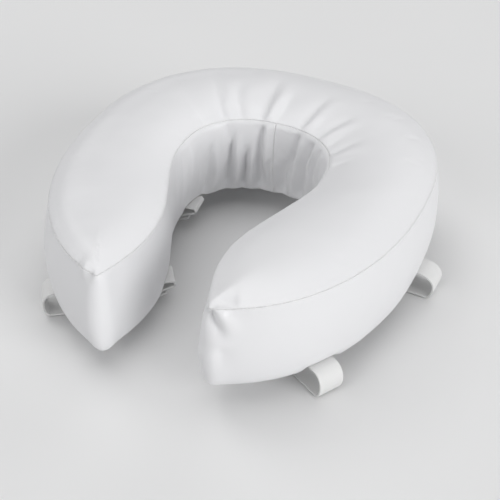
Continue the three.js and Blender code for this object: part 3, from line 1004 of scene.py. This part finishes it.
def skin(bm, rings):
    """A closed tube over rings of points."""
    rings = [[bm.verts.new(p) for p in ring] for ring in rings]
    for before, ring in zip(rings, rings[1:]):
        for k in range(len(ring)):
            after = (k + 1) % len(ring)
            bm.faces.new((before[k], before[after], ring[after], ring[k]))
    bm.faces.new(rings[0][::-1])
    bm.faces.new(rings[-1])


def add_hooks(piece, box):
    """A field of small hooks under a tape: each is a post with a bent head."""
    middle, axes, half = box
    bm = bmesh.new()
    bm.from_mesh(piece.data)
    pitch, radius = 1.25 * MM, 0.17 * MM
    profile = [(0.1, 1.2, 0), (0.5, 0.9, 0.2), (0.82, 0.85, 0.65), (0.95, 0.5, 1.25)]  # height, width, lean
    turns = [2 * math.pi * a / 5 for a in range(5)]
    for i, x in enumerate(np.arange(-half[0] + 1.3 * MM, half[0] - 1.2 * MM, pitch)):
        lean = 0.28 * MM * (1 if i % 2 else -1)
        for y in np.arange(-half[1] + 1.3 * MM, half[1] - 1.2 * MM, pitch):
            skin(bm, [[middle + axes[0] * (x + lean * bent + radius * size * math.cos(turn))
                       + axes[1] * (y + radius * size * math.sin(turn)) - axes[2] * half[2] * height
                       for turn in turns] for height, size, bent in profile])
    bmesh.ops.recalc_face_normals(bm, faces=bm.faces[:])
    bm.to_mesh(piece.data)
    bm.free()
    shade_smooth(piece)


def add_tapes(strap):
    """The hook tape under the tab and the loop tape on the strap below it."""
    name = strap["name"]
    hook_box = oriented_box(f"tab_{name}_hook_tape", strap)
    hook = soft_block(f"tab_{name}_hooks", hook_box)
    trim_block(hook, hook_box)
    add_hooks(hook, hook_box)
    loop_box = oriented_box(f"strap_{name}_loop_tape", strap)
    loop = soft_block(f"strap_{name}_loops", loop_box, pile_height)
    for piece, material, body, node in ((hook, "hook_tape", f"{name}_tab", f"tab_{name}_hook_tape"),
                                        (loop, "loop_tape", f"{name}_tail", f"strap_{name}_loop_tape")):
        piece.data.materials.append(MATERIALS[material])
        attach(piece, body)
        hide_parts(node)


def stitch(bm, start, end, up, radius):
    """One stitch: a short thread that rises from the surface and goes back in."""
    start, end, up = Vector(start), Vector(end), Vector(up)
    side = up.cross((end - start).normalized())
    turns = [2 * math.pi * k / 6 for k in range(6)]
    rings = []
    for t in np.linspace(0, 1, 6):
        centre = start.lerp(end, t) + up * (radius * (1.5 * math.sin(math.pi * t) - 0.9))
        size = radius * (0.7 + 0.3 * math.sin(math.pi * t))
        rings.append([centre + (side * math.cos(turn) + up * math.sin(turn)) * size for turn in turns])
    skin(bm, rings)


def finish_stitches(bm, name, body):
    """Turns stitches into a piece that rides on a body."""
    bmesh.ops.recalc_face_normals(bm, faces=bm.faces[:])
    piece = object_from(bm, name)
    shade_smooth(piece)
    piece.data.materials.append(MATERIALS["thread"])
    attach(piece, body)
    return piece


def add_stitches(strap, part, body, down):
    """The box of stitches with a cross in it, as single stitches."""
    node = f"{part}_{strap['name']}_stitching"
    middle, axes, half = oriented_box(node, strap)
    up = -axes[2] if down else axes[2]
    base = middle - up * half[2] * STITCH_SINK
    x, y = half[0] - 0.4 * MM, half[1] - 0.4 * MM
    corners = np.array([(-x, -y), (x, -y), (x, y), (-x, y)])
    bm = bmesh.new()
    for first, last in ((0, 1), (1, 2), (2, 3), (3, 0), (0, 2), (1, 3)):
        a, b = corners[first], corners[last]
        count = max(1, round(float(np.linalg.norm(b - a)) / STITCH_PITCH))
        for k in range(count):
            ends = [a + (b - a) * (k + share) / count for share in (0.1, 0.9)]
            points = [base + e[0] * axes[0] + e[1] * axes[1] for e in ends]
            stitch(bm, points[0], points[1], up, STRAP_THREAD)
    piece = finish_stitches(bm, f"{part}_{strap['name']}_stitches", f"{strap['name']}_{body}")
    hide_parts(node)


def along_line(place, along, rows):
    """What a line has at a distance along it, from what it has at its points."""
    return Vector([np.interp(place, along, column) for column in rows.T])


def add_seam_thread(shell, levels):
    """The thread in the cover's seams: stitches that lie at the bottom of the groove between the panels."""
    co, normal = coordinates(shell), vertex_normals(shell)
    bm = bmesh.new()
    for line in seam_lines(levels):
        along = arc_along(co[line])
        count = round(along[-1] / STITCH_PITCH)
        for k in range(count):
            ends = []
            for share in (0.08, 0.92):
                place = along[-1] * (k + share) / count
                up = along_line(place, along, normal[line]).normalized()
                ends.append(along_line(place, along, co[line]) - up * THREAD_DEPTH)
            stitch(bm, ends[0], ends[1], up, SEAM_THREAD)
    finish_stitches(bm, "seam_thread", "cushion")


# ---------------------------------------------------------------- materials
class Nodes:
    """A small helper that adds nodes to a material and links them."""

    def __init__(self, name):
        self.material = bpy.data.materials.new(name)
        self.material.use_nodes = True
        self.tree = self.material.node_tree
        self.shader = self.tree.nodes["Principled BSDF"]

    def connect(self, value, socket):
        """Links a socket to another node's output, or sets it to a plain value."""
        if isinstance(value, bpy.types.NodeSocket):
            self.tree.links.new(value, socket)
        else:
            socket.default_value = value

    def add(self, kind, inputs=(), **settings):
        """A node with its settings and its inputs."""
        node = self.tree.nodes.new(kind)
        for key, value in settings.items():
            setattr(node, key, value)
        for key, value in dict(inputs).items():
            self.connect(value, node.inputs[key])
        return node

    def place(self):
        """The place on the piece, in metres."""
        return self.add("ShaderNodeTexCoord").outputs["Object"]

    def stored(self, name):
        """A number that the piece keeps for each of its points."""
        return self.add("ShaderNodeAttribute", attribute_name=name).outputs["Fac"]

    def noise(self, scale, detail=3.0, rough=0.5):
        """Smooth noise from 0 to 1."""
        inputs = {"Vector": self.place(), "Scale": scale, "Detail": detail, "Roughness": rough}
        return self.add("ShaderNodeTexNoise", inputs).outputs["Fac"]

    def math(self, operation, a, b=0.0, clamp=False):
        """A sum, product or other function of one or two numbers."""
        return self.add("ShaderNodeMath", {0: a, 1: b}, operation=operation, use_clamp=clamp).outputs[0]

    def remap(self, value, low, high, to_low, to_high):
        """A number moved from one range to another, and kept inside it."""
        inputs = {"Value": value, "From Min": low, "From Max": high, "To Min": to_low, "To Max": to_high}
        return self.add("ShaderNodeMapRange", inputs).outputs["Result"]

    def uneven(self, low, high, scale, detail=3.0, rough=0.5):
        """A number that wanders between two limits."""
        return self.remap(self.noise(scale, detail, rough), 0.3, 0.7, low, high)

    def blend(self, share, a, b):
        """One colour mixed into another."""
        node = self.add("ShaderNodeMix", data_type="RGBA")
        for key, value in (("Factor", share), ("A", a), ("B", b)):
            self.connect((*value, 1) if isinstance(value, tuple) else value, node.inputs[key])
        return node.outputs["Result"]

    def bump(self, height, distance, strength=1.0, normal=None):
        """The surface's normal with a fine relief on it."""
        inputs = {"Height": height, "Distance": distance, "Strength": strength}
        if normal is not None:
            inputs["Normal"] = normal
        return self.add("ShaderNodeBump", inputs).outputs["Normal"]

    def finish(self, **inputs):
        """Sets the shader's inputs and gives the material."""
        for key, value in inputs.items():
            self.connect(value, self.shader.inputs[key.replace("_", " ").title().replace("Ior", "IOR")])
        return self.material


def vinyl():
    """White vinyl with a very fine pebbled grain, a slightly darker colour in the seams and polish beside
    them.
    """
    n = Nodes("white_vinyl")
    seam = n.stored("seam_distance")
    near = n.remap(seam, 0.0002, 0.0024, 1, 0)
    beside = n.remap(seam, 0.001, 0.012, 1, 0)
    base = n.blend(n.noise(9, 4), (0.80, 0.80, 0.815), (0.83, 0.83, 0.84))
    # The colour is made slightly darker within about 2.4 mm of the seams, down in their grooves.
    seam_darkened = n.blend(n.math("MULTIPLY", near, 0.08), base, (0.60, 0.59, 0.57))
    cells = {"Vector": n.place(), "Scale": 1150.0}
    grain = n.add("ShaderNodeTexVoronoi", cells, feature="SMOOTH_F1").outputs["Distance"]
    height = n.math("ADD", n.math("MULTIPLY", grain, 0.7), n.math("MULTIPLY", n.noise(2600, 2), 0.5))
    puckers = n.math("MULTIPLY", n.noise(210, 2, 0.6), beside)
    relief = n.bump(puckers, 0.0009, 0.55, n.bump(height, 0.00005, 0.5))
    polish = n.math("SUBTRACT", n.uneven(0.36, 0.47, 34, 5, 0.6), n.math("MULTIPLY", beside, 0.05))
    return n.finish(base_color=seam_darkened, roughness=polish, normal=relief, specular_ior_level=0.5,
                    sheen_weight=0.05, sheen_roughness=0.4)


def foam():
    """Open-cell cushion foam."""
    n = Nodes("cushion_foam")
    cells = n.add("ShaderNodeTexVoronoi", {"Vector": n.place(), "Scale": 520.0}).outputs["Distance"]
    base = n.blend(n.remap(cells, 0.0, 0.7, 0, 1), (0.72, 0.64, 0.42), (0.90, 0.85, 0.68))
    height = n.math("ADD", cells, n.math("MULTIPLY", n.noise(900, 3), 0.6))
    return n.finish(base_color=base, roughness=n.uneven(0.88, 1.0, 60),
                    normal=n.bump(height, 0.0008, 0.8), specular_ior_level=0.2)


def webbing():
    """Fine woven webbing: rows of short floats side by side, each column half a float further on, with
    painted shade in the gaps between the floats.
    """
    n = Nodes("white_webbing")
    column = n.math("DIVIDE", n.stored("strap_across"), WEAVE_COLUMN)
    along = n.math("DIVIDE", n.stored("strap_along"), WEAVE_FLOAT)
    shifted = n.math("ADD", along, n.math("MULTIPLY", n.math("FLOOR", column), 0.5))
    rows = n.math("ABSOLUTE", n.math("SINE", n.math("MULTIPLY", shifted, math.pi)))
    ribs = n.math("ABSOLUTE", n.math("SINE", n.math("MULTIPLY", column, math.pi)))
    weave = n.math("MULTIPLY", n.math("POWER", rows, 0.6), n.math("POWER", ribs, 0.7))
    height = n.math("ADD", weave, n.math("MULTIPLY", n.noise(2400, 3), 0.35))
    # Lighter on the crowns of the floats and darker in the gaps between them, following the weave's relief:
    # painted shade. The slow noise adds an uneven tone.
    gap_shade_and_wear = n.math("ADD", n.math("MULTIPLY", weave, 0.8), n.math("MULTIPLY", n.noise(45, 4), 0.4), clamp=True)
    base = n.blend(gap_shade_and_wear, (0.73, 0.73, 0.72), (0.83, 0.83, 0.825))
    return n.finish(base_color=base, roughness=n.uneven(0.48, 0.6, 55, 4),
                    normal=n.bump(height, 0.00012, 0.6), specular_ior_level=0.4, sheen_weight=0.15)


def loop_pile():
    """The soft side of hook-and-loop tape."""
    n = Nodes("loop_pile")
    fuzz = n.noise(2300, 6, 0.7)
    base = n.blend(n.remap(fuzz, 0.35, 0.65, 0, 1), (0.66, 0.66, 0.65), (0.86, 0.86, 0.85))
    return n.finish(base_color=base, roughness=n.uneven(0.9, 1.0, 80),
                    normal=n.bump(fuzz, 0.0006, 0.9), specular_ior_level=0.2, sheen_weight=0.4)


def hook_plastic():
    """Moulded nylon, the hook side of the tape."""
    n = Nodes("hook_nylon")
    base = n.blend(n.noise(300, 4), (0.68, 0.69, 0.70), (0.82, 0.83, 0.84))
    return n.finish(base_color=base, roughness=n.uneven(0.42, 0.58, 120),
                    normal=n.bump(n.noise(1800, 2), 0.0001, 0.6), specular_ior_level=0.5)


def sewing_thread():
    """White polyester thread with a fine twist, and painted shade in the grooves of the twist."""
    n = Nodes("sewing_thread")
    twist = n.add("ShaderNodeTexWave", {"Vector": n.place(), "Scale": 620.0, "Distortion": 0.5},
                  wave_type="BANDS", bands_direction="DIAGONAL").outputs["Fac"]
    # The colour follows the twist: lighter on its ridges and darker in its grooves, which is painted shade.
    base = n.blend(twist, (0.74, 0.74, 0.73), (0.90, 0.90, 0.89))
    return n.finish(base_color=base, roughness=n.uneven(0.55, 0.7, 400),
                    normal=n.bump(twist, 0.00012, 0.8), sheen_weight=0.2)


MATERIALS = {
    "vinyl": vinyl(), "foam": foam(), "loop_tape": loop_pile(), "hook_tape": hook_plastic(),
    "thread": sewing_thread(), "webbing": webbing(),
}


# ---------------------------------------------------------------- the cushion
def add_cushion():
    """The cover and the foam in it, from one shell."""
    shell, panel, levels = cover_shell()
    inflate(shell, panel)
    tag_panels(shell, levels)
    add_foam(shell)
    subdivided(shell)
    sculpt(shell)
    raise_over_straps(shell)
    add_seam_thread(shell, levels)
    seams = Seams(shell)
    for tag, name, node in ((TOP, "cover_top", "top_panel"), (BAND, "cover_band", "side_band"),
                            (BOTTOM, "cover_bottom", "bottom_panel")):
        piece = panel_piece(shell, tag, name, seams)
        store_seam_distance(piece, seams)
        thick = piece.modifiers.new("thickness", "SOLIDIFY")
        thick.thickness = VINYL_THICK
        thick.offset = -1
        piece.modifiers.new("normals", "WEIGHTED_NORMAL").keep_sharp = True
        piece.data.materials.append(MATERIALS["vinyl"])
        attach(piece, "cushion")
        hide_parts(node)
    bpy.data.objects.remove(shell)


def add_foam(shell):
    """The foam core, a little inside the cover."""
    block = shell.copy()
    block.data = shell.data.copy()
    block.name = block.data.name = "foam_block"
    bpy.context.scene.collection.objects.link(block)
    set_coordinates(block, coordinates(block) - vertex_normals(block) * FOAM_INSET)
    block.data.materials.clear()
    block.data.polygons.foreach_set("material_index", [0] * len(block.data.polygons))
    block.data.attributes.remove(block.data.attributes["join"])
    block.vertex_groups.clear()
    block.data.materials.append(MATERIALS["foam"])
    shade_smooth(block)
    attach(block, "cushion")
    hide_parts("foam_core")


# ---------------------------------------------------------------- the studio
def add_floor():
    """A plain pale floor under the straps, large enough to fill the view."""
    bpy.ops.mesh.primitive_plane_add(size=80, location=(0, 0, CAD_LOW.z - 1.2 * MM))
    floor = bpy.context.object
    floor.name = "floor"
    n = Nodes("pale_floor")
    base = n.blend(n.noise(3, 3), (0.78, 0.78, 0.78), (0.81, 0.81, 0.81))
    floor.data.materials.append(n.finish(base_color=base, roughness=0.7))


def add_light(name, direction, softness, strength):
    """A distant soft light from a direction. Softness is the angle it covers, in degrees."""
    light = bpy.data.lights.new(name, "SUN")
    light.angle = math.radians(softness)
    light.energy = strength
    lamp = link(name, light)
    lamp.location = Vector(direction).normalized() * 2
    lamp.rotation_mode = "QUATERNION"
    lamp.rotation_quaternion = Vector(direction).to_track_quat("Z", "Y")


def add_studio():
    """The floor, the lights and the pale surroundings."""
    add_floor()
    for name, settings in LIGHTS.items():
        add_light(name, *settings)
    world_light = bpy.data.worlds.new("studio")
    world_light.use_nodes = True
    tree = world_light.node_tree
    background = tree.nodes["Background"]
    background.inputs["Color"].default_value = (0.97, 0.98, 1.0, 1)
    backdrop = tree.nodes.new("ShaderNodeMapRange")
    backdrop.inputs["To Min"].default_value = SKY_LIGHT
    backdrop.inputs["To Max"].default_value = BACKDROP
    tree.links.new(tree.nodes.new("ShaderNodeLightPath").outputs["Is Camera Ray"], backdrop.inputs["Value"])
    tree.links.new(backdrop.outputs["Result"], background.inputs["Strength"])
    bpy.context.scene.world = world_light
    bpy.context.scene.view_settings.view_transform = "Standard"


def add_camera():
    """In front, to the right and above, turned a little about its own axis."""
    azimuth, elevation, roll = (math.radians(a) for a in CAMERA_TURN)
    flat = math.cos(elevation)
    back = Vector((math.sin(azimuth) * flat, -math.cos(azimuth) * flat, math.sin(elevation)))
    level = Vector((math.cos(azimuth), math.sin(azimuth), 0))
    above = back.cross(level)
    right = level * math.cos(roll) + above * math.sin(roll)
    up = above * math.cos(roll) - level * math.sin(roll)
    camera = link("camera", bpy.data.cameras.new("camera"))
    camera.data.lens = CAMERA_LENS
    camera.data.sensor_width = 36
    turn = Matrix((right, up, back)).transposed().to_4x4()
    camera.matrix_world = Matrix.Translation(CAMERA_PLACE) @ turn
    bpy.context.scene.camera = camera


# ---------------------------------------------------------------- the scene
add_camera()
add_studio()
add_cushion()
for strap in STRAPS:
    add_strap(strap)
    add_tab(strap)
    add_tapes(strap)
    add_stitches(strap, "strap", "tail", down=True)
    add_stitches(strap, "tab", "tab", down=False)
